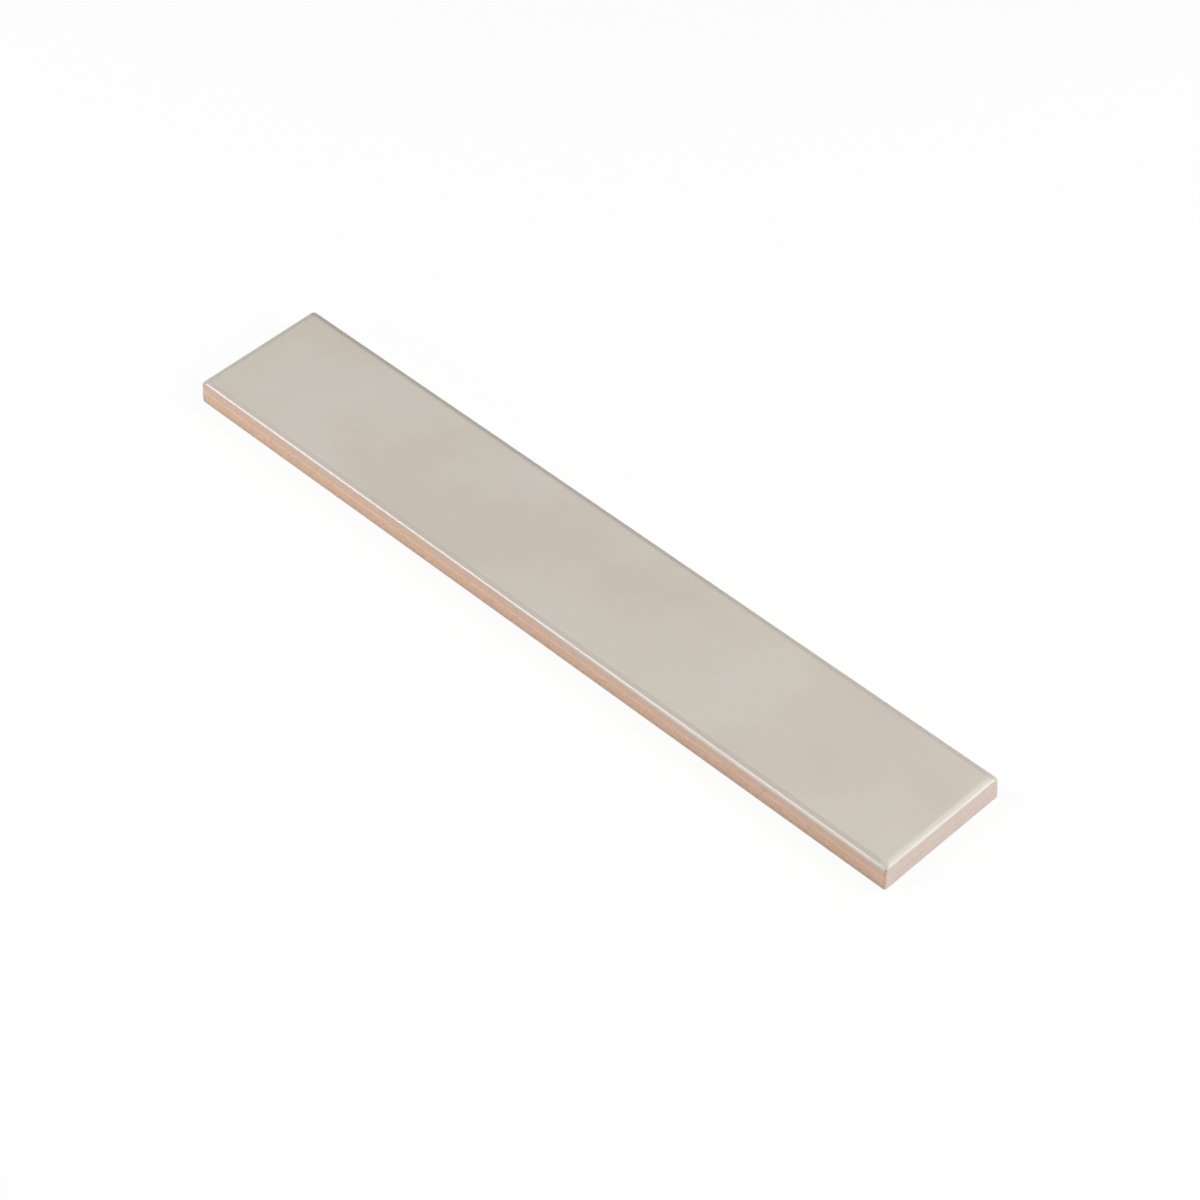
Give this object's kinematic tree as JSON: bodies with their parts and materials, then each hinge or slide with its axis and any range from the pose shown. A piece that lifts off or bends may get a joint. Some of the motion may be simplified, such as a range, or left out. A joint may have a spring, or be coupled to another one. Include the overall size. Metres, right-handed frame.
{
  "type": "field tile",
  "caption": "Slim oblong glazed wall tile with a flat satin face, cushioned edges, bare clay sides and a keyed back, for laying flat or bedding on a wall.",
  "frame": {"origin": "centre of the back land, on the plane that the tile lies on", "axes": "+X along the tile's length, +Y across its width, +Z out of the glazed face"},
  "size_m": [0.3, 0.05, 0.009],
  "materials": {
    "tile": "satin greige glaze on the face and its rounded edges, bare orange-pink clay on the sides and back"
  },
  "bodies": {
    "root": {"field_tile": "tile"}
  },
  "joints": []
}
